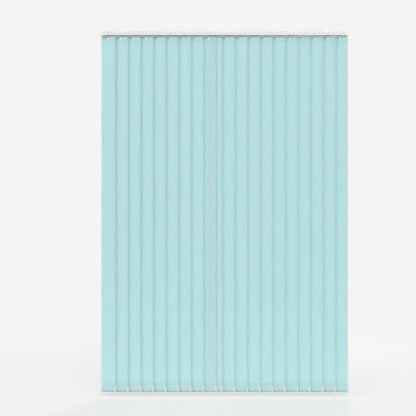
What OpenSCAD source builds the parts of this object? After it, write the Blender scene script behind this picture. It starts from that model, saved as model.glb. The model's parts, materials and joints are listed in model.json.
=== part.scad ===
// Vertical blind with a split draw: a slotted headrail, wheeled carriers that slide in it,
// fabric vanes that hang from hooks and turn together, and weights linked by bead chains.
// Millimetres. X runs along the headrail, -Y faces the room, +Z is up.
// The origin is on the fixing plane above the headrail, at the middle of its length.

/* [Vanes] */
// Number of vanes that draw to the left
left_vanes = 9; // [2:1:12]
// Number of vanes that draw to the right
right_vanes = 11; // [2:1:12]
// Width of one vane
vane_w = 89; // [80:1:127]
// Length of the fabric from its top fold to its hem
vane_drop = 2180; // [600:10:2800]
// Distance between neighbouring hooks when the blind is drawn across
vane_pitch = 77; // [64:1:110]
// Distance between the two lead hooks where the halves meet
meeting_gap = 37; // [28:1:70]
// Angle between a closed vane and the headrail
closed_angle = 12; // [8:1:30]
// Thickness of the fabric
fabric_t = 0.45; // [0.3:0.05:0.6]
// Gap between the headrail and the top of the vanes
top_gap = 5; // [4.6:0.2:10]

/* [Headrail] */
// Depth of the headrail from front to back
rail_d = 40; // [38:1:50]
// Height of the headrail
rail_h = 25; // [24.6:0.2:32]
// Thickness of the headrail's front and back walls
rail_wall = 1.4; // [1:0.1:2]
// Thickness of the flanges that the wheels run on
flange_t = 1.6; // [1:0.1:2.2]
// Width of the slot that the hooks hang through
slot_w = 16; // [15:0.5:17]
// Distance from an end hook to the end of the headrail
end_margin = 32; // [30:1:60]
// Length of the end fittings outside the headrail
cap_l = 12; // [11:0.5:20]

/* [Brackets] */
// Distance between the two outer fixing screws
bracket_spacing = 1240; // [300:10:1300]
// Thickness of the bracket plate above the headrail
plate_t = 2; // [1.5:0.1:4]
// Diameter of a fixing screw hole
screw_d = 4.5; // [3:0.1:5]

/* [Carriers] */
// Length of a carrier along the headrail
truck_l = 19; // [18:0.5:24]
// Diameter of a carrier wheel
wheel_d = 5.6; // [4.4:0.1:5.8]
// Diameter of the hook's stem in the carrier
stem_d = 6; // [5:0.1:6.4]
// Teeth on the worm wheel
gear_teeth = 18; // [14:1:22]
// Length of the spacer strip beyond the next carrier
spacer_reach = 6; // [4:0.5:12]

/* [Hooks] */
// Width of a hook
hook_w = 8; // [6:0.5:10]
// Thickness of one leg of the hook
leg_t = 1.6; // [1:0.1:1.8]
// Length of the legs below the vane's top edge
leg_overlap = 19; // [15:1:24]
// Thickness of the hanger plate in the vane's top pocket
hanger_t = 1.2; // [0.8:0.1:1.4]
// Height of the top pocket
top_pocket_h = 28; // [26:1:40]

/* [Weights] */
// Height of the weight inside the bottom pocket
weight_h = 43; // [36:1:60]
// Thickness of the weight
weight_t = 2.2; // [1.6:0.1:2.8]
// Height of the weight's rim below the hem
rim_h = 5; // [3:0.5:8]
// Height of the bottom pocket
bottom_pocket_h = 52; // [50:1:75]

/* [Bottom chains] */
// Diameter of a bead
bead_d = 3.2; // [2.4:0.1:3.6]
// Diameter of the links between the beads
link_d = 1.3; // [0.8:0.1:1.6]
// How far a chain sags between two weights
chain_sag = 28; // [10:1:32]
// Links in one span of chain
chain_links = 8; // [6:1:12]

/* [Hidden] */
$fn = 48;
vane_count = left_vanes + right_vanes;
hook_span = (left_vanes - 1) * vane_pitch + meeting_gap + (right_vanes - 1) * vane_pitch;
rail_len = hook_span + 2 * end_margin;
rail_top = -plate_t;
rail_bottom = rail_top - rail_h;
run_gap = 0.2;
fit_gap = 0.08;

// Headrail section, measured up from its bottom face.
rail_corner = 1.2;
rib_w = 1.2;
rib_h = 1.2;
lip_t = 1.5;
lip_slot_w = 15;
channel_w = 24;
channel_h = 2.6;
channel_t = 1.3;
inner_d = rail_d - 2 * rail_wall;

// Carrier heights, measured up from the headrail's bottom face.
neck_drop = 1.2;
neck_w = 13;
neck_l = 15;
base_z = flange_t + rib_h + 0.4;
base_top = 8.2;
base_w = 21.2;
axle_d = 2.4;
wheel_w = 2.6;
axle_z = flange_t + wheel_d / 2 + run_gap;
axle_x = 5.8;
housing_top = 17.2;
housing_front = 8.2;
gear_floor = 10;
gear_t = 5.8;
gear_pitch_r = 5.6;
tooth_h = 0.6;
tooth_root = 0.75;
tooth_pitch = 2 * PI * gear_pitch_r / gear_teeth;
worm_pitch_r = 3.6;
worm_l = 13.6;
rod_r = 2.3;
rod_flute = 0.25;
rod_y = gear_pitch_r + worm_pitch_r;
rod_z = gear_floor + fit_gap + gear_t / 2;
barrel_wall = 1.2;
pivot_d = 5.2;
stem_head_d = 8.4;
stem_head_t = 1;
cord_hole_d = 2.6;
cord_y = 6.8;
cord_z = 6.6;
spacer_t = 0.5;
spacer_h = 5;
spacer_z = 11;
spacer_angle = 3;
spacer_boss_t = 1;
spacer_boss_l = 8;

// Hook and vane, measured down from the headrail's bottom face.
collar_d = 8.4;
collar_t = 1.2;
pocket_gap = 0.1;
leg_gap = 0.35;
fork_t = 1.7;
bar_top = 11.5;
bar_h = 2;
bar_w = 4.8;
tooth_slope = 0.9;
tooth_clear = 0.25;
leg_tip_w = 6.4;
lead_in = 0.8;
lead_h = 3;
bar_slot_w = 6;
bar_slot_h = 4.6;
fabric_slot_margin = 0.4;
hanger_inset = 2.5;
hanger_h = 18;
hanger_corner = 3;
hanger_hole_w = 14;
hanger_hole_h = 5;
front_in = -(hanger_t / 2 + pocket_gap);
front_out = front_in - fabric_t;
back_in = -front_in;
back_out = -front_out;
weld_h = 2;
weld_slope = 4;
vane_top = rail_bottom - top_gap;
hem_z = vane_top - vane_drop;

// Weight in the bottom pocket, measured up from the hem and out from the vane's middle.
weight_back = front_in + pocket_gap + weight_t;
weight_mid = front_in + pocket_gap + weight_t / 2;
pocket_back_in = weight_back + pocket_gap;
pocket_back_out = pocket_back_in + fabric_t;
hem_gap = 0.15;
weight_inset = 2.5;
clip_cover = 4;
clip_t = 1.05;
clip_gap = 0.15;
clip_side_gap = 0.2;
clip_z = 0.5;
clip_h = weight_h - 1;
post_d = 2.2;
post_out = 3.5;
ear_end = 1.6;
ear_corner = 1.4;
eye_z = 33.3;
eye_h = 3;
eye_gap = 0.1;
eye_wall = 0.95;
window_z = eye_z - 0.3;
window_h = eye_h + 3.5;
post_x = vane_w / 2 + post_out;
arm_l = 3.2;
arm_d = 1.6;

// Brackets and end fittings.
bracket_l = 34;
bracket_w = 30;
bracket_corner = 4;
boss_d = 13;
wing_l = 11;
wing_w = 21;
wing_t = 1.9;
screw_head_d = 8.4;
plug_l = 14;
plug_gap = 0.2;
bearing_l = 6;
bearing_wall = 1.4;
sprocket_r = 8.2;
sprocket_w = 6;
sprocket_beads = 8;
sprocket_bead_d = 4.6;
sprocket_gap = 0.6;
cover_t = 1.6;
outlet_d = 2.8;
outlet_y = 4.8;
nose_w = 14.4;
nose_l = 8;
nose_drop = 3;
pulley_groove = 1.4;
pulley_r = cord_y + pulley_groove;
pulley_t = 3.6;
pulley_pin_d = 3;
pulley_x = 9;
tab_t = 2.4;
tab_gap = 0.3;
plug_z = flange_t + rib_h + plug_gap;

function two_digits(i) = i < 10 ? str("0", i) : str(i);

// X of the hook that carries vane i, counted from the left.
function hook_x(i) = -hook_span / 2 + (i - 1) * vane_pitch
    + (i > left_vanes ? meeting_gap - vane_pitch : 0);

// A point of vane i's own frame, turned to the closed angle, as seen from above.
function vane_point(i, x, y) = [
    hook_x(i) + x * cos(closed_angle) + y * sin(closed_angle),
    -x * sin(closed_angle) + y * cos(closed_angle)];

// Points along an arc from angle a to angle b.
function arc(x, y, r, a, b, steps = 4) =
    [for (k = [0:steps]) let (t = a + (b - a) * k / steps) [x + r * cos(t), y + r * sin(t)]];

// Outline of a rectangle with round corners that stands on the first axis.
function rounded(w, h, r) = concat(
    arc(w / 2 - r, r, r, -90, 0), arc(w / 2 - r, h - r, r, 0, 90),
    arc(-w / 2 + r, h - r, r, 90, 180), arc(-w / 2 + r, r, r, 180, 270));

// Outline of the tilt rod: round with three shallow flutes.
function rod_outline(gap = 0) =
    [for (a = [0:15:345]) (rod_r + gap - rod_flute * (1 - cos(3 * a)) / 2) * [cos(a), sin(a)]];

// Lays a section drawn in Y and Z along X.
module along_x(length) {
    rotate([90, 0, 90]) linear_extrude(length, center = true) children();
}

// A round bar along X, centred.
module bar_x(d, length) {
    rotate([0, 90, 0]) cylinder(d = d, h = length, center = true);
}

// Places children at hook i, turned with its closed vane.
module at_vane(i) {
    translate([hook_x(i), 0, 0]) rotate([0, 0, -closed_angle]) children();
}

// Headrail

module rail_section() {
    channel_z = rail_h - lip_t - channel_h;
    difference() {
        union() {
            difference() {
                polygon(rounded(rail_d, rail_h, rail_corner));
                translate([-inner_d / 2, flange_t]) square([inner_d, rail_h - flange_t - lip_t]);
            }
            translate([-channel_w / 2 - channel_t, channel_z - channel_t])
                square([channel_w + 2 * channel_t, channel_h + channel_t + lip_t / 2]);
            for (y = [-slot_w / 2 - rib_w, slot_w / 2])
                translate([y, flange_t / 2]) square([rib_w, rib_h + flange_t / 2]);
        }
        translate([-channel_w / 2, channel_z]) square([channel_w, channel_h]);
        translate([-lip_slot_w / 2, channel_z]) square([lip_slot_w, channel_h + 2 * lip_t]);
        translate([-slot_w / 2, -1]) square([slot_w, flange_t + 1]);
    }
}

module headrail() {
    color("white") translate([0, 0, rail_bottom]) along_x(rail_len) rail_section();
}

// Bracket: a plate against the ceiling with a wing that turns in under the headrail's lips.
module bracket(x) {
    wing_z = rail_top - lip_t;
    color("silver") translate([x, 0, 0]) difference() {
        union() {
            translate([0, -bracket_w / 2, rail_top]) linear_extrude(plate_t)
                polygon(rounded(bracket_l, bracket_w, bracket_corner));
            translate([0, 0, wing_z - wing_t / 2])
                cylinder(d = boss_d, h = lip_t + wing_t / 2 + plate_t / 2);
            translate([-wing_l / 2, -wing_w / 2, wing_z - wing_t]) cube([wing_l, wing_w, wing_t]);
        }
        translate([0, 0, wing_z - wing_t - 1]) cylinder(d = screw_d, h = plate_t + lip_t + wing_t + 2);
        translate([0, 0, wing_z - wing_t - fit_gap])
            cylinder(d1 = screw_head_d, d2 = screw_d, h = wing_t + fit_gap);
    }
}

// End fittings

module end_plug_section() {
    channel_z = rail_h - lip_t - channel_h - channel_t;
    translate([-inner_d / 2 + plug_gap, plug_z])
        square([inner_d - 2 * plug_gap, channel_z - plug_z - plug_gap]);
}

// Closes the headrail's left end and holds the rod's bush and the return pulley.
module idle_end_cap() {
    pulley_room = pulley_t + 2 * tab_gap;
    color("white") translate([-rail_len / 2, 0, rail_bottom]) difference() {
        union() {
            translate([-cap_l / 2, 0, 0]) along_x(cap_l) polygon(rounded(rail_d, rail_h, rail_corner));
            translate([plug_l / 2 - 1, 0, 0]) along_x(plug_l + 2) end_plug_section();
        }
        translate([plug_l / 2, rod_y, rod_z])
            bar_x(2 * (rod_r + bearing_wall + fit_gap), plug_l + 2 * bearing_l);
        translate([pulley_x - pulley_r - tab_gap, -pulley_r - tab_gap, cord_z - pulley_room / 2])
            cube([plug_l + pulley_r, 2 * (pulley_r + tab_gap), pulley_room]);
        translate([pulley_x, 0, 0]) cylinder(d = pulley_pin_d + 2 * fit_gap, h = rail_h / 2);
        translate([plug_l / 2, -rail_d / 2, cord_z + pulley_room / 2 + tab_t])
            cube([plug_l, rail_d / 2 + rod_y - rod_r - 2 * bearing_wall, rail_h]);
    }
}

// Plain bearing of the tilt rod in the idle end cap.
module rod_bush() {
    color("ivory") translate([-rail_len / 2 + plug_l / 2 - bearing_l / 2, rod_y, rail_bottom + rod_z])
        difference() {
            bar_x(2 * (rod_r + bearing_wall), plug_l + bearing_l - 2 * fit_gap);
            bar_x(2 * (rod_r + fit_gap), plug_l + 2 * bearing_l);
        }
}

// Grooved pulley that turns the draw cord back along the headrail.
module return_pulley() {
    color("ivory") translate([-rail_len / 2 + pulley_x, 0, rail_bottom + cord_z - pulley_t / 2])
        rotate_extrude() polygon([
            [pulley_pin_d / 2 + fit_gap, 0], [pulley_r, 0], [pulley_r, pulley_t / 4],
            [pulley_r - pulley_groove, pulley_t / 2], [pulley_r, 3 * pulley_t / 4],
            [pulley_r, pulley_t], [pulley_pin_d / 2 + fit_gap, pulley_t]]);
}

module pulley_pin() {
    color("silver") translate([-rail_len / 2 + pulley_x, 0, rail_bottom + plug_z])
        cylinder(d = pulley_pin_d, h = cord_z + pulley_t / 2 + tab_gap + tab_t - plug_z);
}

// Holds the tilt sprocket at the right end, open below for the operating chain and the draw cord.
module control_housing() {
    room_r = sprocket_r + sprocket_gap;
    color("white") translate([rail_len / 2, 0, rail_bottom]) difference() {
        union() {
            translate([(cap_l - cover_t) / 2, 0, 0])
                along_x(cap_l - cover_t) polygon(rounded(rail_d, rail_h, rail_corner));
            translate([1 - plug_l / 2, 0, 0]) along_x(plug_l + 2) end_plug_section();
            translate([-plug_l / 2 - nose_l / 2, -nose_w / 2, -nose_drop])
                cube([nose_l, nose_w, nose_drop + plug_z + 1]);
        }
        translate([cap_l / 2 + rail_wall, rod_y, rod_z]) bar_x(2 * room_r, cap_l);
        translate([rail_wall, rod_y - room_r, -1]) cube([cap_l, 2 * room_r, rod_z + 1]);
        translate([-plug_l / 2, rod_y, rod_z]) bar_x(2 * (rod_r + fit_gap), 2 * plug_l + cap_l);
        for (side = [-1, 1]) {
            translate([-plug_l, side * cord_y, cord_z]) bar_x(outlet_d, plug_l + outlet_d);
            translate([-plug_l / 2, side * outlet_y, -nose_drop - 1])
                cylinder(d = outlet_d, h = cord_z + nose_drop + 1);
        }
    }
}

// End cover of the control housing.
module control_cover() {
    color("white") translate([rail_len / 2 + cap_l - cover_t / 2, 0, rail_bottom])
        along_x(cover_t) polygon(rounded(rail_d, rail_h, rail_corner));
}

// Tilt drive

module tilt_rod() {
    left = -rail_len / 2 - bearing_l;
    right = rail_len / 2 + rail_wall + sprocket_gap + sprocket_w;
    color("silver") translate([(left + right) / 2, rod_y, rail_bottom + rod_z])
        along_x(right - left) polygon(rod_outline());
}

// Wheel with a pocket for each bead of the operating chain.
module chain_sprocket() {
    x = rail_len / 2 + rail_wall + sprocket_gap + sprocket_w / 2;
    color("ivory") translate([x, rod_y, rail_bottom + rod_z]) difference() {
        bar_x(2 * sprocket_r, sprocket_w);
        along_x(sprocket_w + 2) polygon(rod_outline(fit_gap));
        for (k = [0:sprocket_beads - 1]) rotate([k * 360 / sprocket_beads, 0, 0])
            translate([0, 0, sprocket_r]) sphere(d = sprocket_bead_d);
    }
}

// Carrier: housing, worm, worm wheel and four running wheels.

module wheel_places() {
    for (x = [-axle_x, axle_x], side = [-1, 1])
        translate([x, side * (base_w / 2 + wheel_w / 2 + run_gap), axle_z]) rotate([90, 0, 0]) children();
}

module carrier_housing(spacer_way) {
    barrel_r = worm_pitch_r + tooth_h + run_gap;
    gear_room = gear_pitch_r + tooth_h + run_gap;
    back = rod_y + barrel_r + barrel_wall;
    difference() {
        union() {
            translate([0, -neck_w / 2, -neck_drop])
                linear_extrude(neck_drop + base_z + 1) polygon(rounded(neck_l, neck_w, 2));
            translate([0, -base_w / 2, base_z])
                linear_extrude(base_top - base_z + 1) polygon(rounded(truck_l, base_w, 1));
            translate([-truck_l / 2, -housing_front, base_top])
                cube([truck_l, housing_front + back, housing_top - base_top]);
            for (x = [-axle_x, axle_x]) translate([x, 0, axle_z]) rotate([90, 0, 0])
                cylinder(d = axle_d, h = base_w + 2 * wheel_w + 4 * run_gap, center = true);
            if (spacer_way != 0) spacer(spacer_way);
        }
        translate([0, 0, -neck_drop - 1])
            cylinder(d = stem_d + 2 * fit_gap, h = housing_top + neck_drop + 2);
        translate([0, 0, gear_floor]) cylinder(r = gear_room, h = housing_top);
        translate([0, rod_y, rod_z]) bar_x(2 * barrel_r, worm_l + 2 * run_gap);
        translate([-worm_l / 2 - run_gap, rod_y - barrel_r, rod_z])
            cube([worm_l + 2 * run_gap, 2 * barrel_r, housing_top]);
        translate([0, rod_y, rod_z]) bar_x(2 * (rod_r + run_gap), 2 * truck_l);
        for (y = [-cord_y, cord_y]) translate([0, y, cord_z]) bar_x(cord_hole_d, 2 * truck_l);
    }
}

// Strip that keeps the next carrier at its spacing. All strips lie parallel, so they nest when drawn back.
module spacer(way) {
    strip_l = vane_pitch + spacer_reach;
    start_y = -housing_front - spacer_boss_t / 2;
    translate([-spacer_boss_l / 2, -housing_front - spacer_boss_t, spacer_z - 0.5])
        cube([spacer_boss_l, 2 * spacer_boss_t, spacer_h + 1]);
    translate([0, start_y, spacer_z]) rotate([0, 0, -way * spacer_angle])
        translate([way > 0 ? 0 : -strip_l, -spacer_t / 2, 0]) cube([strip_l, spacer_t, spacer_h]);
}

// Worm on the tilt rod, its thread drawn as rings at the tooth pitch.
module worm() {
    root_r = worm_pitch_r - tooth_root;
    rings = floor(worm_l / tooth_pitch / 2 - 0.5);
    rotate([0, 90, 0]) difference() {
        union() {
            cylinder(r = root_r, h = worm_l, center = true);
            for (k = [-rings:rings - 1]) translate([0, 0, (k + 0.5) * tooth_pitch]) rotate_extrude()
                polygon([[root_r / 2, -tooth_pitch / 4], [root_r, -tooth_pitch / 4],
                         [worm_pitch_r + tooth_h, -tooth_pitch / 8],
                         [worm_pitch_r + tooth_h, tooth_pitch / 8],
                         [root_r, tooth_pitch / 4], [root_r / 2, tooth_pitch / 4]]);
        }
        cylinder(r = rod_r + fit_gap, h = 2 * worm_l, center = true);
    }
}

// Worm wheel that turns the hook's stem through a slipping fit.
module worm_wheel() {
    tooth_angle = 360 / gear_teeth;
    root_r = gear_pitch_r - tooth_root;
    tip_r = gear_pitch_r + tooth_h;
    tooth = [[root_r, -0.27], [tip_r, -0.12], [tip_r, 0.12], [root_r, 0.27]];
    linear_extrude(gear_t) difference() {
        polygon([for (k = [0:gear_teeth - 1], p = tooth)
            p[0] * [sin((k + p[1]) * tooth_angle), cos((k + p[1]) * tooth_angle)]]);
        circle(d = pivot_d + 2 * fit_gap);
    }
}

module running_wheel() {
    difference() {
        cylinder(d = wheel_d, h = wheel_w, center = true);
        cylinder(d = axle_d + 2 * fit_gap, h = 2 * wheel_w, center = true);
    }
}

// The strip of a left carrier reaches right and that of a right carrier left.
// The two lead carriers have none.
module carrier(i) {
    spacer_way = i < left_vanes ? 1 : i > left_vanes + 1 ? -1 : 0;
    color("whitesmoke") translate([hook_x(i), 0, rail_bottom]) {
        carrier_housing(spacer_way);
        translate([0, 0, gear_floor + fit_gap]) worm_wheel();
        translate([0, rod_y, rod_z]) worm();
        wheel_places() running_wheel();
    }
}

// Vane: hook, hanger plate, fabric and bottom weight, which turn together.

module hook_leg_outline() {
    leg_l = top_gap + leg_overlap - collar_t - neck_drop - run_gap;
    polygon(concat([[hook_w / 2, 0], [-hook_w / 2, 0]],
                   arc(0, leg_tip_w / 2 - leg_l, leg_tip_w / 2, 180, 360, 8)));
}

// Leg of the fork on the +Y side, thinned inside at its tip so the vane slips in.
module hook_leg(leg_in) {
    tip_z = -top_gap - leg_overlap;
    difference() {
        translate([0, leg_in + leg_t, -neck_drop - run_gap - collar_t])
            rotate([90, 0, 0]) linear_extrude(leg_t) hook_leg_outline();
        along_x(hook_w + 2) polygon([[leg_in - 1, tip_z - 1], [leg_in + lead_in, tip_z - 1],
            [leg_in + lead_in, tip_z], [leg_in, tip_z + lead_h], [leg_in - 1, tip_z + lead_h]]);
    }
}

// Tooth on the rear leg that holds the hanger plate: flat on top, sloped below, short of the front leg.
module hook_tooth(leg_in) {
    front = -leg_in + tooth_clear;
    along_x(bar_w) polygon([[leg_in + leg_t / 2, -bar_top], [front, -bar_top],
        [front, -bar_top - bar_h + tooth_slope], [leg_in + leg_t / 2, -bar_top - bar_h - tooth_slope]]);
}

module hook() {
    leg_in = back_out + leg_gap;
    collar_z = -neck_drop - run_gap;
    fork_z = collar_z - collar_t;
    stem_top = gear_floor + fit_gap + gear_t + fit_gap;
    color("white") translate([0, 0, rail_bottom]) {
        translate([0, 0, stem_top]) cylinder(d = stem_head_d, h = stem_head_t);
        translate([0, 0, gear_floor - 1]) cylinder(d = pivot_d, h = stem_top - gear_floor + 1.5);
        translate([0, 0, collar_z - 0.5]) cylinder(d = stem_d, h = gear_floor - collar_z);
        translate([0, 0, fork_z]) cylinder(d = collar_d, h = collar_t);
        translate([-hook_w / 2, -leg_in - leg_t, fork_z - fork_t])
            cube([hook_w, 2 * (leg_in + leg_t), fork_t + collar_t / 2]);
        for (side = [0, 1]) mirror([0, side, 0]) hook_leg(leg_in);
        hook_tooth(leg_in);
    }
}

// Outline of a rectangle in 2D with rounded corners.
function rounded_box(x0, x1, y0, y1, r) = concat(
    arc(x1 - r, y1 - r, r, 90, 0, 4), arc(x1 - r, y0 + r, r, 0, -90, 4),
    arc(x0 + r, y0 + r, r, 270, 180, 4), arc(x0 + r, y1 - r, r, 180, 90, 4));

// Plate in the top pocket: the hook's tooth goes through its slot, and two windows save plastic.
module hanger_plate() {
    slot_top = bar_top - fit_gap;
    half = vane_w / 2 - hanger_inset;
    plate_top = -top_gap + front_out - pocket_gap;
    color("whitesmoke") translate([0, hanger_t / 2, rail_bottom]) rotate([90, 0, 0])
        linear_extrude(hanger_t) difference() {
            polygon(rounded_box(-half, half, plate_top - hanger_h, plate_top, hanger_corner));
            translate([-bar_slot_w / 2, -slot_top - bar_slot_h]) square([bar_slot_w, bar_slot_h]);
            for (side = [-1, 1]) translate([side * half / 2, plate_top - hanger_h / 2])
                polygon(rounded_box(-hanger_hole_w / 2, hanger_hole_w / 2,
                                    -hanger_hole_h / 2, hanger_hole_h / 2, hanger_hole_h / 2 - 0.2));
        }
}

// Section of the fabric in Y and Z: one layer, folded over the hanger plate and doubled round the weight.
module fabric_section() {
    fold_z = vane_top + front_out;
    weld_z = vane_top - top_pocket_h;
    pocket_z = hem_z + bottom_pocket_h;
    welded = front_in + fabric_t;
    difference() {
        polygon(concat(
            arc(0, fold_z, back_out, 180, 0, 6),
            [[back_out, weld_z + weld_h + weld_slope], [welded, weld_z + weld_h], [welded, weld_z],
             [front_in, weld_z], [front_in, pocket_z], [welded, pocket_z], [welded, pocket_z - weld_h],
             [pocket_back_out, pocket_z - weld_h - weld_slope], [pocket_back_out, hem_z],
             [pocket_back_in, hem_z], [pocket_back_in, pocket_z - weld_h - weld_slope],
             [front_in, pocket_z - weld_h], [front_in, hem_z], [front_out, hem_z]]));
        polygon(concat(
            arc(0, fold_z, back_in, 180, 0, 6),
            [[back_in, weld_z + weld_h + weld_slope], [front_in, weld_z + weld_h]]));
    }
}

module fabric() {
    slot_w2 = bar_slot_w + 2 * fabric_slot_margin;
    slot_h2 = bar_slot_h + 2 * fabric_slot_margin;
    color("paleturquoise") difference() {
        along_x(vane_w) fabric_section();
        translate([-slot_w2 / 2, front_out - 1, rail_bottom - bar_top - bar_slot_h - fabric_slot_margin])
            cube([slot_w2, back_out - front_out + 2, slot_h2]);
    }
}

// Clip at one end of the weight: it wraps the pocket's edge and carries the chain's post.
module weight_end() {
    edge = vane_w / 2;
    front = front_out - clip_gap - clip_t;
    back = pocket_back_out + clip_gap + clip_t;
    wall = edge + clip_side_gap;
    ear = front_in + pocket_gap;
    difference() {
        union() {
            translate([edge - clip_cover, front, clip_z])
                cube([clip_cover + clip_side_gap + clip_t, back - front, clip_h]);
            translate([0, ear + weight_t, clip_z]) rotate([90, 0, 0]) linear_extrude(weight_t)
                polygon(rounded_box(wall - ear_corner, post_x + ear_end, 0, clip_h, ear_corner));
        }
        translate([edge - clip_cover - 1, front + clip_t, clip_z - 1])
            cube([wall - edge + clip_cover + 1, back - front - 2 * clip_t, clip_h + 2]);
        translate([wall + clip_t, front - 1, window_z]) cube([post_x, back - front + 2, window_h]);
    }
    translate([post_x, weight_mid, window_z - 0.5]) cylinder(d = post_d, h = window_h + 1);
    translate([edge - weight_inset - 1, ear, clip_z])
        cube([weight_inset + clip_side_gap + 1.5, weight_t, clip_h]);
}

module bottom_weight() {
    rim_w = pocket_back_out - front_out;
    rim_r = rim_w / 2;
    color("white") translate([0, 0, hem_z]) {
        translate([-vane_w / 2 + weight_inset, front_in + pocket_gap, -rim_h / 2])
            cube([vane_w - 2 * weight_inset, weight_t, weight_h + rim_h / 2]);
        along_x(vane_w) translate([(front_out + pocket_back_out) / 2, 0])
            polygon(concat([[rim_r, -hem_gap], [-rim_r, -hem_gap]],
                           arc(0, rim_r - rim_h, rim_r, 180, 360, 6)));
        for (side = [0, 1]) mirror([side, 0, 0]) weight_end();
    }
}

module vane(i) {
    at_vane(i) {
        hook();
        hanger_plate();
        fabric();
        bottom_weight();
    }
}

// Bottom chains: eyelets on the weights' posts, joined by sagging strands of beads.

// Where a chain's eyelet sits on vane i: side 1 is the front edge, side -1 the rear edge.
function eyelet_at(i, side) = let (p = vane_point(i, side * post_x, weight_mid))
    [p[0], p[1], hem_z + eye_z + eye_h / 2];

// Point k of the strand that leaves vane i, on a parabola.
function strand_point(i, side, k) = let (u = k / chain_links, e = eyelet_at(i, side))
    [e[0] + u * vane_pitch, e[1] - side * arm_l, e[2] - 4 * chain_sag * u * (1 - u)];

// Turns what is drawn along Z to point from a to b.
module aimed(a, b) {
    d = b - a;
    rotate([0, acos(d[2] / norm(d)), atan2(d[1], d[0])]) children();
}

module link(a, b) {
    translate(a) aimed(a, b) cylinder(d = link_d, h = norm(b - a));
}

// Bead with a flat at each end, where the links enter, and a band of half length band round its middle.
module bead(band) {
    r = bead_d / 2;
    shoulder = 0.55 * r + band / 4;
    rotate_extrude() polygon([[0, -r], [0.56 * r, -r], [0.9 * r, -shoulder], [r, -band],
        [r, band], [0.9 * r, shoulder], [0.56 * r, r], [0, r]]);
}

module eyelet(i, side) {
    translate(eyelet_at(i, side)) {
        difference() {
            cylinder(d = post_d + 2 * (eye_gap + eye_wall), h = eye_h, center = true);
            cylinder(d = post_d + 2 * eye_gap, h = eye_h + 2, center = true);
        }
        translate([0, -side * (post_d / 2 + eye_gap + eye_wall / 2), 0]) rotate([side * 90, 0, 0])
            cylinder(d = arm_d, h = arm_l - post_d / 2 - eye_gap - eye_wall / 2);
        translate([0, -side * arm_l, 0]) rotate([90, 0, 0]) bead(0.5 * bead_d / 2);
    }
}

module chain(first, last, side) {
    color("white") {
        for (i = [first:last]) eyelet(i, side);
        for (i = [first:last - 1]) {
            for (k = [1:chain_links - 1]) translate(strand_point(i, side, k))
                aimed(strand_point(i, side, k - 1), strand_point(i, side, k + 1)) bead(0.1 * bead_d / 2);
            for (k = [0:chain_links - 1]) link(strand_point(i, side, k), strand_point(i, side, k + 1));
        }
    }
}

headrail();
bracket(-bracket_spacing / 2);  // bracket_left
bracket(0);  // bracket_middle
bracket(bracket_spacing / 2);  // bracket_right
idle_end_cap();
rod_bush();
return_pulley();
pulley_pin();
control_housing();
control_cover();
tilt_rod();
chain_sprocket();
for (i = [1:vane_count]) {
    carrier(i);
    vane(i);
}
chain(1, left_vanes, 1);  // front_chain_left
chain(1, left_vanes, -1);  // rear_chain_left
chain(left_vanes + 1, vane_count, 1);  // front_chain_right
chain(left_vanes + 1, vane_count, -1);  // rear_chain_right
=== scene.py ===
import bmesh
import bpy
from itertools import chain
import json
import math
import numpy as np
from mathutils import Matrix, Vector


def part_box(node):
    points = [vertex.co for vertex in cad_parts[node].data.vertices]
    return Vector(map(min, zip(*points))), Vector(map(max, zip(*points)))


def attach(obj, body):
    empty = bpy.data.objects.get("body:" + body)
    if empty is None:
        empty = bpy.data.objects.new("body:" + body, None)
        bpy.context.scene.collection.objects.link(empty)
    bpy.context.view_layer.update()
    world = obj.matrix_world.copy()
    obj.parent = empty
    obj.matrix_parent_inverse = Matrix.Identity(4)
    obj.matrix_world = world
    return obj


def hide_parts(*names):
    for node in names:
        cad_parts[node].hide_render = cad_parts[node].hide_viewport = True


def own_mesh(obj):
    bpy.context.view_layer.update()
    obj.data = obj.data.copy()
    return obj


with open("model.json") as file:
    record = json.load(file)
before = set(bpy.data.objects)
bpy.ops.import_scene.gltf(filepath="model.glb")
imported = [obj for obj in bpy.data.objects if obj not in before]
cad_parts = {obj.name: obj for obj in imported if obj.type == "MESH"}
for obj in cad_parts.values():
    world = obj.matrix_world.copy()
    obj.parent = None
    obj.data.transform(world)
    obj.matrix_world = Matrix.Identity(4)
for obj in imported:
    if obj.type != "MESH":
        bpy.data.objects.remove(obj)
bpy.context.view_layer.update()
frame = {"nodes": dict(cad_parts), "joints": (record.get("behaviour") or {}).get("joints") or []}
nodes = frame["nodes"]
print("stage: frame loaded with", len(nodes), "nodes")

# Sizes below are in millimetres, in the same frame as the CAD part.
mm = 0.001
blind = {
    "leftVanes": 9, "pitch": 77.0, "closedAngle": math.radians(12), "vaneTop": -32.0, "hem": -2212.0,
    "railBottom": round(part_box("headrail")[0].z / mm, 3),
}
vaneNames = sorted(name for name in nodes if name.startswith("vane_"))
vaneCount = len(vaneNames)
vaneDrop = blind["vaneTop"] - blind["hem"]
# Each vane turns about its hook, so the joints give the hooks' places along the rail.
turnPlaces = {joint["child"]: joint["pos_m"] for joint in frame["joints"] if joint["child"] in vaneNames}
hookX = np.round([turnPlaces[name][0] / mm for name in vaneNames], 3)


# Shapes

def gridFaces(rows, columns, wrap=False):
    # Quads between neighbouring rows and columns of a grid, joined round when wrap is set.
    r, c = np.meshgrid(np.arange(rows - 1), np.arange(columns if wrap else columns - 1), indexing="ij")
    after = (c + 1) % columns
    quads = [r * columns + c, r * columns + after, (r + 1) * columns + after, (r + 1) * columns + c]
    return np.stack(quads, -1).reshape(-1, 4)


def tubeFaces(rows, columns):
    # Quads round a tube of rings and a flat cap at each end, as one array for each number of corners.
    caps = np.arange(columns) + np.array([[0], [(rows - 1) * columns]])
    return [gridFaces(rows, columns, True), caps]


def shellOf(rings):
    # Closed skin through rings of points.
    return rings.reshape(-1, 3), tubeFaces(*rings.shape[:2])


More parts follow.
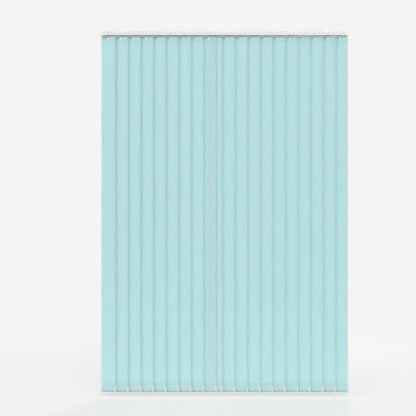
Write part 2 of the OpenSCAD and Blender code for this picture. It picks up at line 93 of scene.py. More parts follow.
def inset(outline, amount):
    # Moves each side of an outline inwards by the amount, along the sides' normals.
    before = outline - np.roll(outline, 1, 0)
    before = before / np.linalg.norm(before, axis=1, keepdims=True)
    after = np.roll(before, -1, 0)
    normalBefore = np.stack([before[:, 1], -before[:, 0]], 1)
    normalAfter = np.stack([after[:, 1], -after[:, 0]], 1)
    share = 1 + np.sum(normalBefore * normalAfter, 1, keepdims=True)
    return outline - amount * (normalBefore + normalAfter) / share


def slab(outline, low, high, bevel, order):
    # Outline (u, v) carried from low to high along w, with its rims bevelled.
    # Order says which of u, v and w goes on x, y and z.
    edge = inset(outline, bevel)
    flat = np.stack([edge, outline, outline, edge])
    levels = np.array([low, low + bevel, high - bevel, high])
    depth = np.repeat(levels[:, None, None], len(outline), 1)
    return shellOf(np.concatenate([flat, depth], 2)[:, :, list(order)])


def roundedBox(u0, u1, v0, v1, radius, count=4):
    # Rectangle with a quarter circle of the radius at each corner, anticlockwise.
    turn = np.linspace(0, math.pi / 2, count)[None, :] + np.arange(4)[:, None] * math.pi / 2
    middle = np.array([[u1 - radius, v1 - radius], [u0 + radius, v1 - radius],
                       [u0 + radius, v0 + radius], [u1 - radius, v0 + radius]])
    return (middle[:, None, :] + radius * np.stack([np.cos(turn), np.sin(turn)], -1)).reshape(-1, 2)


def lowerHalf(middle, height, radius, count=13):
    # Lower half of a circle, from its left end to its right end.
    turn = np.linspace(math.pi, 2 * math.pi, count)
    return np.stack([middle + radius * np.cos(turn), height + radius * np.sin(turn)], 1)


def circle(count):
    # Points at even turns on a circle of radius 1.
    turn = np.arange(count) * 2 * math.pi / count
    return np.stack([np.cos(turn), np.sin(turn)], -1)


def turnedRings(profile, count):
    # Rings that each (radius, height) of a profile draws about a vertical line.
    profile = np.asarray(profile, float)
    flat = profile[:, 0, None, None] * circle(count)
    height = np.repeat(profile[:, 1, None, None], count, 1)
    return np.concatenate([flat, height], 2)


def lathe(profile, centre, count=20):
    # Closed skin of a profile turned about a vertical line through the centre.
    return shellOf(turnedRings(profile, count) + np.asarray(centre, float))


def repeated(points, faces):
    # The faces of one copy used for every copy: points are (copy, ring, corner, 3).
    shift = (np.arange(len(points)) * points.shape[1] * points.shape[2])[:, None, None]
    return points.reshape(-1, 3), [(block[None] + shift).reshape(-1, block.shape[1]) for block in faces]


def rods(starts, ends, radius, count):
    # Straight round rods from starts to ends: circles about each rod's line at both ends.
    along = (ends - starts) / np.linalg.norm(ends - starts, axis=1, keepdims=True)
    # The helper is any direction that isn't the rod's own.
    helper = np.where(np.abs(along[:, 1:2]) < 0.9, [[0.0, 1.0, 0.0]], [[1.0, 0.0, 0.0]])
    side = np.cross(along, helper)
    side = side / np.linalg.norm(side, axis=1, keepdims=True)
    over = np.cross(along, side)
    ring = circle(count)[None]
    edge = radius * (ring[:, :, :1] * side[:, None] + ring[:, :, 1:] * over[:, None])
    points = np.stack([starts[:, None] + edge, ends[:, None] + edge], 1)
    return repeated(points, tubeFaces(2, count))


def balls(centres, radius, count=8, bands=5, lastTilt=1.25):
    # Round beads: rings of latitude on a sphere, the end rings small and capped, one ball at each centre.
    tilt = np.linspace(-lastTilt, lastTilt, bands)
    rings = turnedRings(radius * np.stack([np.cos(tilt), np.sin(tilt)], 1), count)
    return repeated(centres[:, None, None] + rings[None], tubeFaces(bands, count))


def joined(shells):
    # Several shells as one array of points and one list of face arrays.
    first = np.cumsum([0] + [len(points) for points, blocks in shells])
    faces = [block + start for (points, blocks), start in zip(shells, first) for block in blocks]
    return np.concatenate([points for points, blocks in shells]), faces


def mirrored(values):
    # Rising values with their opposites before them.
    values = np.asarray(values, float)
    return np.concatenate([-values[::-1], values])


def runAlong(path):
    # Distance from a path's first point to each of its points.
    return np.concatenate([[0], np.cumsum(np.linalg.norm(np.diff(path, axis=0), axis=1))])


def turned(points, place):
    # From a vane's own frame to its place: turned by the closed angle, then moved along the rail.
    c, s = math.cos(blind["closedAngle"]), math.sin(blind["closedAngle"])
    x, y, z = points[:, 0], points[:, 1], points[:, 2]
    return np.stack([place + x * c + y * s, -x * s + y * c, z], 1)


def makePiece(name, points, faces, material, body, uv=None, sharp=40):
    # A mesh object in metres that rides a body; edges are sharp above an angle in degrees.
    mesh = bpy.data.meshes.new(name)
    corners = chain.from_iterable(block.tolist() for block in faces)
    mesh.from_pydata((points * mm).tolist(), [], list(corners))
    if uv is not None:
        corner = np.empty(len(mesh.loops), np.int32)
        mesh.loops.foreach_get("vertex_index", corner)
        mesh.uv_layers.new(name="UVMap").data.foreach_set("uv", uv[corner].astype(np.float32).ravel())
    shape = bmesh.new()
    shape.from_mesh(mesh)
    bmesh.ops.recalc_face_normals(shape, faces=shape.faces)
    shape.to_mesh(mesh)
    shape.free()
    mesh.polygons.foreach_set("use_smooth", np.ones(len(mesh.polygons), bool))
    mesh.set_sharp_from_angle(angle=math.radians(sharp))
    mesh.materials.append(material)
    piece = bpy.data.objects.new(name, mesh)
    bpy.context.scene.collection.objects.link(piece)
    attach(piece, body)
    return piece


def thicken(piece, amount):
    # Gives a sheet its thickness, half to each side.
    wall = piece.modifiers.new("thickness", "SOLIDIFY")
    wall.thickness = amount * mm
    wall.offset = 0


# Shared shading

def addNode(tree, kind, sockets=(), **settings):
    # Adds a node; sockets pairs an input's name or number with a value or with the output that feeds it.
    made = tree.nodes.new(kind)
    for key, value in settings.items():
        setattr(made, key, value)
    for key, value in sockets:
        if isinstance(value, bpy.types.NodeSocket):
            tree.links.new(value, made.inputs[key])
        else:
            made.inputs[key].default_value = value
    return made


def mathNode(tree, operation, a, b, c=0.5):
    # Two or three numbers brought together by a Math node.
    return addNode(tree, "ShaderNodeMath", [(0, a), (1, b), (2, c)], operation=operation).outputs[0]


def noiseNode(tree, place, scale, detail):
    sockets = [("Vector", place), ("Scale", scale), ("Detail", detail)]
    return addNode(tree, "ShaderNodeTexNoise", sockets).outputs["Fac"]


def bumpNode(tree, height, strength, distance):
    sockets = [("Height", height), ("Strength", strength), ("Distance", distance)]
    return addNode(tree, "ShaderNodeBump", sockets).outputs["Normal"]


def newGroup(name, inputs, outputs):
    # An empty shader group, with the sockets that its inside reads and fills.
    tree = bpy.data.node_groups.new(name, "ShaderNodeTree")
    for label, value in inputs:
        tree.interface.new_socket(label, in_out="INPUT", socket_type="NodeSocketFloat").default_value = value
    for label, kind in outputs:
        tree.interface.new_socket(label, in_out="OUTPUT", socket_type=kind)
    return tree, tree.nodes.new("NodeGroupInput").outputs, tree.nodes.new("NodeGroupOutput").inputs


def fillGroup(tree, out, values):
    # Connects a group's outputs by name.
    for label, value in values.items():
        tree.links.new(value, out[label])
    return tree


surfaceOutputs = [("Shade", "NodeSocketFloat"), ("Gloss", "NodeSocketFloat"), ("Normal", "NodeSocketVector")]


def buildMoulded():
    # Slow mottling of the tone and fine grain in the surface, for plastics and plating.
    inputs = [("Patch", 30.0), ("Tone", 0.03), ("Grain", 900.0), ("Depth", 0.05)]
    tree, given, out = newGroup("moulded surface", inputs, surfaceOutputs)
    place = addNode(tree, "ShaderNodeTexCoord").outputs["Object"]
    swing = mathNode(tree, "SUBTRACT", noiseNode(tree, place, given["Patch"], 3.0), 0.5)
    grain = noiseNode(tree, place, given["Grain"], 2.0)
    return fillGroup(tree, out, {
        "Shade": mathNode(tree, "ADD", mathNode(tree, "MULTIPLY", swing, given["Tone"]), 1.0),
        "Gloss": mathNode(tree, "MULTIPLY", swing, 0.25),
        "Normal": bumpNode(tree, grain, given["Depth"], 0.0003),
    })


def buildDrawn():
    # Long fine lines along X, as an extrusion or a drawn bar has.
    inputs = [("Fineness", 900.0), ("Tone", 0.04), ("Depth", 0.08)]
    tree, given, out = newGroup("drawn lines", inputs, surfaceOutputs)
    place = addNode(tree, "ShaderNodeTexCoord").outputs["Object"]
    stretched = addNode(tree, "ShaderNodeVectorMath", [(0, place), (1, (0.004, 1.0, 1.0))],
                        operation="MULTIPLY").outputs[0]
    lines = noiseNode(tree, stretched, given["Fineness"], 3.0)
    swing = mathNode(tree, "SUBTRACT", lines, 0.5)
    return fillGroup(tree, out, {
        "Shade": mathNode(tree, "ADD", mathNode(tree, "MULTIPLY", swing, given["Tone"]), 1.0),
        "Gloss": mathNode(tree, "MULTIPLY", swing, 0.3),
        "Normal": bumpNode(tree, lines, given["Depth"], 0.0002),
    })


moulded, drawn = buildMoulded(), buildDrawn()


def newMaterial(name):
    material = bpy.data.materials.new(name)
    material.use_nodes = True
    return material, material.node_tree, material.node_tree.nodes["Principled BSDF"]


def toned(tree, colour, shade):
    # A colour multiplied by a shade.
    return addNode(tree, "ShaderNodeMix", [(0, 1.0), (6, (*colour, 1.0)), (7, shade)],
                   data_type="RGBA", blend_type="MULTIPLY").outputs[2]


def groupedMaterial(name, group, colour, roughness, metallic=0.0, **settings):
    # A material whose tone, gloss and surface come from one of the shared groups.
    material, tree, shader = newMaterial(name)
    effect = addNode(tree, "ShaderNodeGroup", node_tree=group)
    for key, value in settings.items():
        effect.inputs[key].default_value = value
    tree.links.new(toned(tree, colour, effect.outputs["Shade"]), shader.inputs["Base Color"])
    tree.links.new(mathNode(tree, "ADD", effect.outputs["Gloss"], roughness), shader.inputs["Roughness"])
    tree.links.new(effect.outputs["Normal"], shader.inputs["Normal"])
    shader.inputs["Metallic"].default_value = metallic
    return material


# Finish, its shared group, colour and roughness, and what differs from the group's usual values
paint = groupedMaterial("white powder coat", drawn, (0.73, 0.74, 0.74), 0.42,
                        Fineness=500.0, Tone=0.03, Depth=0.04)
plastic = groupedMaterial("white moulded plastic", moulded, (0.82, 0.82, 0.80), 0.45, Depth=0.04)
hookPlastic = groupedMaterial("hook acetal", moulded, (0.87, 0.88, 0.86), 0.38, Patch=120.0, Depth=0.03)
weightPlastic = groupedMaterial("weight plastic", moulded, (0.88, 0.89, 0.88), 0.5, Patch=60.0, Tone=0.05)
clipPlastic = groupedMaterial("milky clip plastic", moulded, (0.62, 0.74, 0.75), 0.45,
                              Patch=90.0, Tone=0.06)
beadPlastic = groupedMaterial("bead plastic", moulded, (0.78, 0.80, 0.79), 0.35, Patch=300.0, Tone=0.06)
# The carriers are painted near black as shade: they stand in for the shadow under the rail and in its slot.
carrierPaintedShade = groupedMaterial("carrier acetal painted dark for shade", moulded, (0.15, 0.155, 0.16), 0.45, Patch=150.0)
gearPlastic = groupedMaterial("gear nylon", moulded, (0.72, 0.71, 0.66), 0.5, Patch=200.0, Tone=0.05)
zinc = groupedMaterial("zinc plated steel", moulded, (0.62, 0.63, 0.64), 0.36, metallic=1.0,
                       Patch=400.0, Tone=0.2)
aluminium = groupedMaterial("drawn aluminium", drawn, (0.72, 0.73, 0.74), 0.32, metallic=1.0, Tone=0.1)
print("stage: materials ready")

# CAD pieces that are kept: rail, end fittings, drive and carriers

kept = {
    "headrail": paint, "idle_end_cap": plastic, "control_housing": plastic, "control_cover": plastic,
    "bracket_left": zinc, "bracket_middle": zinc, "bracket_right": zinc, "tilt_rod": aluminium,
    "chain_sprocket": gearPlastic, "rod_bush": gearPlastic, "return_pulley": gearPlastic,
    "pulley_pin": zinc,
}
# The carriers take the near-black finish that paints the shade under the rail.
kept.update({"carrier_%02d" % (i + 1): carrierPaintedShade for i in range(vaneCount)})
for name, material in kept.items():
    nodes[name].data.materials.clear()
    nodes[name].data.materials.append(material)
print("stage: kept pieces covered")

# Vanes

# Flaps, welds and openings of the pockets are measured from the fold above and from the hem below.
cloth = {
    "width": 89.0, "length": 2262.0, "thick": 0.45, "edge": 0.6, "columns": [10, 18, 27, 36],
    "front": -0.925, "pressed": -0.475, "topBack": 0.925, "lowBack": 1.925,
    "foldRadius": 0.925, "foldDrop": 1.15, "foldSteps": 9, "holeTop": 6.1, "holeLow": 11.5, "holeHalf": 3.4,
    "topFlap": 28.0, "topWeld": 26.0, "topOpen": 22.0, "lowFlap": 52.0, "lowWeld": 50.0, "lowOpen": 46.0,
    "backRow": 16.0, "frontRow": 18.0, "lowRows": [30.0, 15.0, 0.0],
    "freeFrom": 50.0, "freeTo": 70.0, "freeRows": 40, "billow": 0.9, "ease": 300.0,
    "twist": 0.35, "twistLength": 310.0, "twistStep": 2.1,
    "ripple": 0.3, "rippleLength": 170.0, "rippleStep": 0.9,
}


# Sizes of the weave are in metres, as the cloth's UV is: U across the vane, V down from its top fold.
# The last value paints shade on the bottom pocket, as a share of the welds' darkening.
weave = {
    "yarn": 0.0011, "yarnTone": 0.02, "slub": 0.06, "depth": 0.12, "weldHalf": 0.0011, "pocketShade": 0.15,
}


def buildWoven():
    # Plain weave with uneven yarns: crossed sine waves for the yarns, stretched noise for their slubs.
    # The second output marks the pressed welds in full, and the bottom pocket in part as painted shade where
    # the weight inside keeps light from coming through the cloth.
    inputs = [("Yarn", weave["yarn"]), ("Slub", weave["slub"]), ("Depth", weave["depth"]),
              ("Drop", vaneDrop * mm)]
    outputs = [("Shade", "NodeSocketFloat"), ("Seam", "NodeSocketFloat"), ("Normal", "NodeSocketVector")]
    tree, given, out = newGroup("plain weave", inputs, outputs)
    split = addNode(tree, "ShaderNodeSeparateXYZ", [(0, addNode(tree, "ShaderNodeTexCoord").outputs["UV"])])
    across, down = split.outputs["X"], split.outputs["Y"]
    turns = mathNode(tree, "DIVIDE", 2 * math.pi, given["Yarn"])
    warp = mathNode(tree, "SINE", mathNode(tree, "MULTIPLY", across, turns), 0.0)
    weft = mathNode(tree, "SINE", mathNode(tree, "MULTIPLY", down, turns), 0.0)
    yarn = mathNode(tree, "MULTIPLY", warp, weft)

    def slub(scaleAcross, scaleDown):
        x = mathNode(tree, "MULTIPLY", across, scaleAcross)
        y = mathNode(tree, "MULTIPLY", down, scaleDown)
        place = addNode(tree, "ShaderNodeCombineXYZ", [("X", x), ("Y", y)]).outputs[0]
        return mathNode(tree, "SUBTRACT", noiseNode(tree, place, 1.0, 2.0), 0.5)

    uneven = mathNode(tree, "ADD", slub(900.0, 14.0), slub(25.0, 900.0))
    shade = mathNode(tree, "ADD", mathNode(tree, "MULTIPLY", uneven, given["Slub"]), 1.0)
    topMiddle = (cloth["topFlap"] + cloth["topWeld"]) / 2 * mm
    lowMiddle = mathNode(tree, "SUBTRACT", given["Drop"], (cloth["lowFlap"] + cloth["lowWeld"]) / 2 * mm)
    top = mathNode(tree, "COMPARE", down, topMiddle, weave["weldHalf"])
    low = mathNode(tree, "COMPARE", down, lowMiddle, weave["weldHalf"])
    welds = mathNode(tree, "ADD", top, low)
    # Painted shade on the bottom pocket, where the weight inside keeps light from coming through the cloth.
    pocketTop = mathNode(tree, "SUBTRACT", given["Drop"], cloth["lowWeld"] * mm)
    pocket = mathNode(tree, "GREATER_THAN", down, pocketTop)
    return fillGroup(tree, out, {
        "Shade": mathNode(tree, "ADD", shade, mathNode(tree, "MULTIPLY", yarn, weave["yarnTone"])),
        "Seam": mathNode(tree, "ADD", welds, mathNode(tree, "MULTIPLY", pocket, weave["pocketShade"])),
        "Normal": bumpNode(tree, mathNode(tree, "ADD", yarn, uneven), given["Depth"], 0.0002),
    })


# Pressed darkening: the welds' own darker tone, which also scales the painted shade on the bottom pocket.
polyester = {
    "colour": (0.488, 0.704, 0.716), "pressed": 0.1, "roughness": 0.82, "shine": 0.25, "sheen": 0.08,
    "through": 0.6, "throughReach": 0.0008,
}


def fabricMaterial():
    # Matt woven cloth that lets some light through; its welds are a little darker, and the bottom pocket gets
    # a little painted shade where the weight blocks the light through the cloth.
    material, tree, shader = newMaterial("aqua woven polyester")
    effect = addNode(tree, "ShaderNodeGroup", node_tree=buildWoven())
    # Darkens the welds, and paints a little shade on the bottom pocket.
    darker = mathNode(tree, "MULTIPLY", effect.outputs["Seam"], polyester["pressed"])
    shade = mathNode(tree, "MULTIPLY", effect.outputs["Shade"], mathNode(tree, "SUBTRACT", 1.0, darker))
    tree.links.new(toned(tree, polyester["colour"], shade), shader.inputs["Base Color"])
    tree.links.new(effect.outputs["Normal"], shader.inputs["Normal"])
    shader.inputs["Roughness"].default_value = polyester["roughness"]
    shader.inputs["Specular IOR Level"].default_value = polyester["shine"]
    shader.inputs["Sheen Weight"].default_value = polyester["sheen"]
    shader.inputs["Subsurface Weight"].default_value = polyester["through"]
    shader.inputs["Subsurface Radius"].default_value = (1.0, 1.0, 1.0)
    shader.inputs["Subsurface Scale"].default_value = polyester["throughReach"]
    return material


fabric = fabricMaterial()


def clothPaths():
    # Section of the sheet in (y, drop below the fold): up the back of the top pocket, over the fold and
    # down the front; then the flap of the bottom pocket, from its weld down to the hem.
    flap, weld, opening = cloth["topFlap"], cloth["topWeld"], cloth["topOpen"]
    up = [flap, weld, opening, cloth["backRow"], cloth["holeLow"], cloth["holeTop"]]
    back = np.stack([[cloth["pressed"]] * 2 + [cloth["topBack"]] * 4, up], 1)
    turn = np.linspace(0, math.pi, cloth["foldSteps"])
    fold = np.stack([np.cos(turn), -np.sin(turn)], 1) * cloth["foldRadius"] + [0, cloth["foldDrop"]]
    low = vaneDrop - np.array([cloth["lowFlap"], cloth["lowWeld"], cloth["lowOpen"], *cloth["lowRows"]])
    free = np.linspace(cloth["freeFrom"], vaneDrop - cloth["freeTo"], cloth["freeRows"])
    top = [cloth["holeTop"], cloth["holeLow"], cloth["frontRow"], opening, weld, flap]
    down = np.concatenate([top, free, low])
    front = np.stack([np.full(len(down), cloth["front"]), down], 1)
    pocket = np.stack([[cloth["pressed"]] * 2 + [cloth["lowBack"]] * 4, low], 1)
    return np.concatenate([back, fold, front]), pocket


def vaneCloth(index):
    # Grid of the section carried across the width. Between the pockets the cloth bows forward by about a
    # millimetre: most in the middle of the width, with a slow twist and ripple that differ from vane to vane.
    half, holeHalf = cloth["width"] / 2, cloth["holeHalf"]
    x = mirrored([holeHalf, *cloth["columns"], half - cloth["edge"], half])[None, :]
    main, pocket = clothPaths()
    points, uv, faces, first = [], [], [], 0
    for path in (main, pocket):
        y, z = path[:, 0, None], path[:, 1, None]
        run = runAlong(path)
        down = (run - run[np.argmin(path[:, 1])] if path is main else run + vaneDrop)[:, None]
        fromTop = np.clip((z - cloth["topFlap"]) / cloth["ease"], 0, 1)
        fromLow = np.clip((vaneDrop - cloth["lowFlap"] - z) / cloth["ease"], 0, 1)
        slack = fromTop * fromLow * (y < 0)
        slack = slack * slack * (3 - 2 * slack)
        twist = cloth["twist"] * np.sin(z / cloth["twistLength"] + cloth["twistStep"] * index) * (x / half)
        ripple = cloth["ripple"] * np.sin(z / cloth["rippleLength"] + cloth["rippleStep"] * index)
        bow = -slack * (cloth["billow"] * (1 - (x / half) ** 2) + twist + ripple)
        sheet = np.stack([x + 0 * y, y + bow, blind["vaneTop"] - z + 0 * x], -1)
        quads = gridFaces(*sheet.shape[:2])
        middle = sheet.reshape(-1, 3)[quads].mean(1)
        depth = blind["vaneTop"] - middle[:, 2]
        hole = (np.abs(middle[:, 0]) < holeHalf) & (depth > cloth["holeTop"]) & (depth < cloth["holeLow"])
        faces.append(quads[~hole] + first)
        points.append(sheet.reshape(-1, 3))
        uv.append(np.stack([x + 0 * y, down + 0 * x], -1).reshape(-1, 2) * mm)
        first += sheet.shape[0] * sheet.shape[1]
    placed = turned(np.concatenate(points), hookX[index])
    piece = makePiece("fabric_%02d" % (index + 1), placed, faces, fabric, vaneNames[index],
                      uv=np.concatenate(uv), sharp=60)
    thicken(piece, cloth["thick"])
    return piece


# Heights are from the rail's bottom; the stem's profile is in (radius, height).
hook = {
    "stem": [[3.9, 16.96], [4.2, 16.66], [4.2, 15.96], [2.6, 15.96], [2.6, 9.5], [3.0, 9.5], [3.0, -1.4],
             [4.0, -1.4], [4.2, -1.6], [4.2, -2.6]],
    "width": 8.0, "tipWidth": 6.4, "legIn": 1.5, "legOut": 3.1, "top": -2.6, "tip": -24.0, "bevel": 0.3,
    "forkHalfX": 3.9, "forkHalfY": 2.9, "forkCorner": 0.8, "forkTop": -2.0, "forkLow": -4.3,
    "leadIn": 0.8, "leadHeight": 3.0, "toothTop": -11.5, "toothHeight": 2.0, "toothSlope": 0.9,
    "toothFront": -1.25, "toothBack": 2.3, "toothHalf": 2.4, "toothBevel": 0.12,
}


def hookShells():
    # Turned stem with its head and collar, a fork of two tapered legs with round tips,
    # and the tooth that carries the plate.
    base, bevel = blind["railBottom"], hook["bevel"]
    fork = roundedBox(-hook["forkHalfX"], hook["forkHalfX"], -hook["forkHalfY"], hook["forkHalfY"],
                      hook["forkCorner"])
    half, tipHalf, top = hook["width"] / 2, hook["tipWidth"] / 2, base + hook["top"]
    tip = lowerHalf(0, base + hook["tip"] + tipHalf, tipHalf)
    leg = np.concatenate([[[half, top], [-half, top]], tip])
    points, faces = slab(leg, hook["legIn"], hook["legOut"], bevel, (0, 2, 1))
    # The inner face slants away towards the tip, so the vane slips in.
    rise = (points[:, 2] - base - hook["tip"]) / hook["leadHeight"]
    points[:, 1] = np.maximum(points[:, 1], hook["legIn"] + hook["leadIn"] * np.clip(1 - rise, 0, 1))
    high, slope = base + hook["toothTop"], hook["toothSlope"]
    low = high - hook["toothHeight"]
    tooth = np.array([[hook["toothBack"], high], [hook["toothFront"], high],
                      [hook["toothFront"], low + slope], [hook["toothBack"], low - slope]])
    return joined([
        lathe(hook["stem"], (0, 0, base)),
        slab(fork, base + hook["forkLow"], base + hook["forkTop"], bevel, (0, 1, 2)),
        (points, faces), (points * [1, -1, 1], faces),
        slab(tooth, -hook["toothHalf"], hook["toothHalf"], hook["toothBevel"], (2, 0, 1)),
    ])


hanger = {
    "half": 42.0, "thick": 1.2, "top": -6.25, "low": -24.25, "slotHalf": 3.0, "slotTop": -11.42,
    "slotLow": -16.02, "windowFrom": 14.0, "windowTo": 28.0, "windowHalf": 2.5,
    "cornerFrom": [3.0, 0.9, 0.0], "cornerShare": [1.0, 0.9, 0.667],
}


def hangerSheet():
    # Flat grid with the tooth's slot and two windows left open, its end columns shortened for round corners.
    half, mid = hanger["half"], (hanger["top"] + hanger["low"]) / 2
    ends = [half - back for back in hanger["cornerFrom"]]
    x = mirrored([hanger["slotHalf"], hanger["windowFrom"], hanger["windowTo"], *ends])[None, :]
    z = np.array([hanger["top"], hanger["slotTop"], mid + hanger["windowHalf"], hanger["slotLow"],
                  mid - hanger["windowHalf"], hanger["low"]])[:, None]
    z = mid + (z - mid) * np.interp(np.abs(x), ends, hanger["cornerShare"])
    sheet = np.stack([x + 0 * z, 0 * z, z + blind["railBottom"]], -1)
    quads = gridFaces(*sheet.shape[:2])
    middle = sheet.reshape(-1, 3)[quads].mean(1)
    across, depth = np.abs(middle[:, 0]), middle[:, 2] - blind["railBottom"]
    slot = (across < hanger["slotHalf"]) & (depth < hanger["slotTop"]) & (depth > hanger["slotLow"])
    window = ((across > hanger["windowFrom"]) & (across < hanger["windowTo"])
              & (np.abs(depth - mid) < hanger["windowHalf"]))
    return sheet.reshape(-1, 3), [quads[~(slot | window)]]


# Heights of the weight and its clips are from the hem.
weight = {
    "half": 42.0, "front": -0.6, "back": 1.6, "low": -2.5, "high": 43.0, "corner": 1.0, "bevel": 0.3,
    "rimHalf": 44.5, "rimMiddle": 0.5, "rimRadius": 1.65, "rimTop": -0.15, "rimCentre": -3.35,
    "rimBevel": 0.25,
}


def weightShells():
    # Flat bar in the bottom pocket, and below the hem a rim with a half-round lower edge.
    hem, half, rimHalf = blind["hem"], weight["half"], weight["rimHalf"]
    bar = roundedBox(-half, half, hem + weight["low"], hem + weight["high"], weight["corner"])
    middle, radius, top = weight["rimMiddle"], weight["rimRadius"], hem + weight["rimTop"]
    under = lowerHalf(middle, hem + weight["rimCentre"], radius)
    rim = np.concatenate([[[middle + radius, top], [middle - radius, top]], under])
    return joined([slab(bar, weight["front"], weight["back"], weight["bevel"], (0, 2, 1)),
                   slab(rim, -rimHalf, rimHalf, weight["rimBevel"], (2, 0, 1))])


clip = {
    "inner": 40.5, "outer": 45.75, "front": -2.35, "back": 3.35, "wall": 1.05, "low": 0.5, "high": 42.5,
    "earFrom": 45.0, "earTo": 49.6, "earFront": -0.6, "earBack": 1.6, "earCorner": 1.0, "bevel": 0.2,
    "lowerEar": 33.0, "upperEar": 39.5, "postX": 48.0, "postY": 0.5, "postRadius": 1.1,
    "postLow": 32.6, "postHigh": 39.9, "postSides": 12,
    "eyeHeight": 34.8, "eyeBore": 1.2, "eyeRadius": 2.15, "eyeHalf": 1.5, "eyeBevel": 0.25, "eyeSides": 16,
}


def clipShells():
    # At each end of the weight a channel round the cloth's edge, two ears, a post and
    # the chain's eyelet on the post.
    hem, wall, bevel = blind["hem"], clip["wall"], clip["bevel"]
    inner, outer, front, back = clip["inner"], clip["outer"], clip["front"], clip["back"]
    channel = np.array([[inner, front], [outer, front], [outer, back], [inner, back], [inner, back - wall],
                        [outer - wall, back - wall], [outer - wall, front + wall], [inner, front + wall]])
    ends = [slab(channel, hem + clip["low"], hem + clip["high"], bevel, (0, 1, 2))]
    for low, high in ((clip["low"], clip["lowerEar"]), (clip["upperEar"], clip["high"])):
        ear = roundedBox(clip["earFrom"], clip["earTo"], hem + low, hem + high, clip["earCorner"])
        ends.append(slab(ear, clip["earFront"], clip["earBack"], bevel, (0, 2, 1)))
    post = [[clip["postRadius"], clip["postLow"]], [clip["postRadius"], clip["postHigh"]]]
    ends.append(lathe(post, (clip["postX"], clip["postY"], hem), clip["postSides"]))
    # The eyelet is a section with bevelled outer corners, turned about the post and closed on itself.
    bore, rim, half, cut = clip["eyeBore"], clip["eyeRadius"], clip["eyeHalf"], clip["eyeBevel"]
    section = [[bore, -half], [rim - cut, -half], [rim, cut - half],
               [rim, half - cut], [rim - cut, half], [bore, half]]
    rings = turnedRings(section, clip["eyeSides"]) + [clip["postX"], clip["postY"], hem + clip["eyeHeight"]]
    eyelet = rings.reshape(-1, 3)
    ends.append((eyelet, [gridFaces(len(section) + 1, clip["eyeSides"], True) % len(eyelet)]))
    return joined([(points * [side, 1, 1], faces) for side in (1, -1) for points, faces in ends])


fittings = {
    "hook": (hookShells(), hookPlastic), "hanger": (hangerSheet(), hookPlastic),
    "weight": (weightShells(), weightPlastic), "clips": (clipShells(), clipPlastic),
}
for index, vane in enumerate(vaneNames):
    pieces = {"fabric": vaneCloth(index)}
    for part, ((points, faces), material) in fittings.items():
        pieces[part] = makePiece("%s_%02d" % (part, index + 1), turned(points, hookX[index]), faces, material,
                                 vane)
    thicken(pieces["hanger"], hanger["thick"])
    for piece in pieces.values():
        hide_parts(vane)
print("stage: vanes hung")

# Bottom chains

# The stack values are the pitches of the vanes when the two halves are drawn aside.
chains = {
    "sag": 28.0, "bead": 1.5, "beadGap": 4.4, "cord": 0.55, "cordSides": 5,
    "arm": 4.0, "armFrom": 1.7, "armRadius": 0.8, "armSides": 8, "leftStack": 26.0, "rightStack": 36.2,
}


def buildChain(name, first, last, side):
    # Short arms from the eyelets to the strand, and beads evenly spaced along parabolas between the vanes.
    eye = np.array([[side * clip["postX"], clip["postY"], blind["hem"] + clip["eyeHeight"]]])
    posts = turned(np.repeat(eye, last - first, 0), hookX[first:last])
    out = np.array([0.0, -side, 0.0])

    def strandAt(share):
        drop = 4 * chains["sag"] * share * (1 - share)
        return np.stack([share * blind["pitch"], 0 * share, -drop], 1)

    fine = np.linspace(0, 1, 200)
    run = runAlong(strandAt(fine))
    links = int(round(run[-1] / chains["beadGap"]))
    strand = strandAt(np.interp(np.linspace(0, run[-1], links + 1), run, fine))
    spans = posts[:-1, None] + out * chains["arm"] + strand[None]
    starts, ends = spans[:, :-1].reshape(-1, 3), spans[:, 1:].reshape(-1, 3)
    points, faces = joined([
        balls(np.concatenate([starts, spans[-1:, -1]]), chains["bead"]),
        rods(starts, ends, chains["cord"], chains["cordSides"]),
        rods(posts + out * chains["armFrom"], posts + out * chains["arm"], chains["armRadius"],
             chains["armSides"]),
    ])
    piece = makePiece(name + "_beads", points, faces, beadPlastic, name, sharp=70)
    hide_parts(name)
    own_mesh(piece)


for edge, side in (("front", 1), ("rear", -1)):
    buildChain(edge + "_chain_left", 0, blind["leftVanes"], side)
for edge, side in (("front", 1), ("rear", -1)):
    buildChain(edge + "_chain_right", blind["leftVanes"], vaneCount, side)
print("stage: chains linked")

# Floor, light and camera, in metres

studio = {
    "pale": 0.90, "ambient": 0.60, "floor": -2.245, "floorHalf": 14.0, "floorTone": 0.48, "floorGlow": 0.36,
    "fadeFrom": 0.7, "fadeTo": 3.2,
}
# Kind, place, target, spread and power of each lamp
lamps = {
    "sun": ("SUN", (0.3, -4.0, 1.2), (0.0, 0.0, -1.3), math.radians(14), 1.2),
    "key": ("AREA", (-4.2, -3.6, 0.9), (0.0, 0.0, -1.1), 4.0, 70.0),
    "fill": ("AREA", (2.2, -5.4, 0.9), (0.0, 0.0, -1.1), 3.0, 70.0),
    "back": ("AREA", (1.6, 5.0, 0.4), (0.0, 0.0, -1.4), 3.0, 130.0),
}
view = {"place": (-0.101, -5.2, -1.083), "lens": 73.35, "sensor": 36.0}


def seenRay(tree):
    # 1 for rays that show a surface to the camera or in a reflection, 0 for light that falls on one.
    path = addNode(tree, "ShaderNodeLightPath").outputs
    return mathNode(tree, "MAXIMUM", path["Is Camera Ray"], path["Is Glossy Ray"])


def blendNode(tree, amount, low, high):
    # From low to high as the amount goes from 0 to 1.
    return addNode(tree, "ShaderNodeMapRange", [(0, amount), (3, low), (4, high)]).outputs[0]


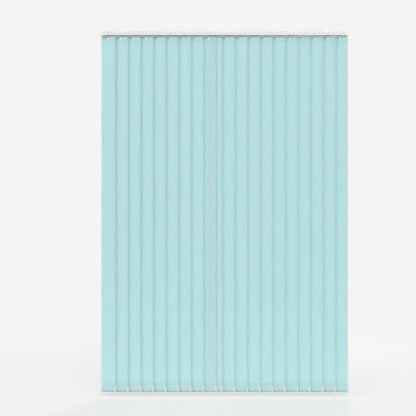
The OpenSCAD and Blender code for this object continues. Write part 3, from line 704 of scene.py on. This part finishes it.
def buildFloor():
    # A flat square. Near the blind it takes the shadow; further out it fades into the pale of the background.
    reach = studio["floorHalf"]
    corners = np.array([[-reach, -reach], [reach, -reach], [reach, reach], [-reach, reach]])
    mesh = bpy.data.meshes.new("floor")
    mesh.from_pydata(np.column_stack([corners, np.full(4, studio["floor"])]).tolist(), [], [[0, 1, 2, 3]])
    material, tree, shader = newMaterial("pale floor")
    place = addNode(tree, "ShaderNodeTexCoord").outputs["Object"]
    away = addNode(tree, "ShaderNodeVectorMath", [(0, place), (1, (0.0, 0.0, studio["floor"]))],
                   operation="DISTANCE").outputs["Value"]
    fade = addNode(tree, "ShaderNodeMapRange", [(0, away), (1, studio["fadeFrom"]), (2, studio["fadeTo"])],
                   interpolation_type="SMOOTHSTEP").outputs[0]
    near = blendNode(tree, fade, studio["floorTone"], 0.0)
    grey = addNode(tree, "ShaderNodeCombineColor", [(0, near), (1, near), (2, near)]).outputs[0]
    tree.links.new(grey, shader.inputs["Base Color"])
    glow = blendNode(tree, fade, studio["floorGlow"], studio["pale"])
    tree.links.new(mathNode(tree, "MULTIPLY", glow, seenRay(tree)), shader.inputs["Emission Strength"])
    shader.inputs["Emission Color"].default_value = (1, 1, 1, 1)
    shader.inputs["Roughness"].default_value = 0.9
    shader.inputs["Specular IOR Level"].default_value = 0.0
    mesh.materials.append(material)
    floor = bpy.data.objects.new("floor", mesh)
    bpy.context.scene.collection.objects.link(floor)


def addLamp(name, kind, place, target, spread, power):
    # A lamp turned so that its light falls towards the target; spread is a disk's width or the sun's angle.
    light = bpy.data.lights.new(name, kind)
    light.energy = power
    if kind == "SUN":
        light.angle = spread
    else:
        light.shape = "DISK"
        light.size = spread
    lamp = bpy.data.objects.new(name, light)
    bpy.context.scene.collection.objects.link(lamp)
    aim = np.subtract(target, place)
    lamp.location = place
    lamp.rotation_euler = (math.atan2(math.hypot(aim[0], aim[1]), -aim[2]), 0, math.atan2(-aim[0], aim[1]))


def buildWorld():
    world = bpy.data.worlds.new("studio")
    world.use_nodes = True
    bpy.context.scene.world = world
    tree = world.node_tree
    background = tree.nodes["Background"].inputs
    background["Color"].default_value = (1, 1, 1, 1)
    tree.links.new(blendNode(tree, seenRay(tree), studio["ambient"], studio["pale"]), background["Strength"])


def buildCamera():
    camera = bpy.data.cameras.new("front camera")
    camera.lens = view["lens"]
    camera.sensor_width = view["sensor"]
    holder = bpy.data.objects.new("front camera", camera)
    bpy.context.scene.collection.objects.link(holder)
    holder.location = view["place"]
    holder.rotation_euler = (math.pi / 2, 0, 0)
    bpy.context.scene.camera = holder


buildFloor()
for name, settings in lamps.items():
    addLamp(name, *settings)
buildWorld()
buildCamera()
bpy.context.scene.view_settings.view_transform = "Standard"
print("stage: studio lit")
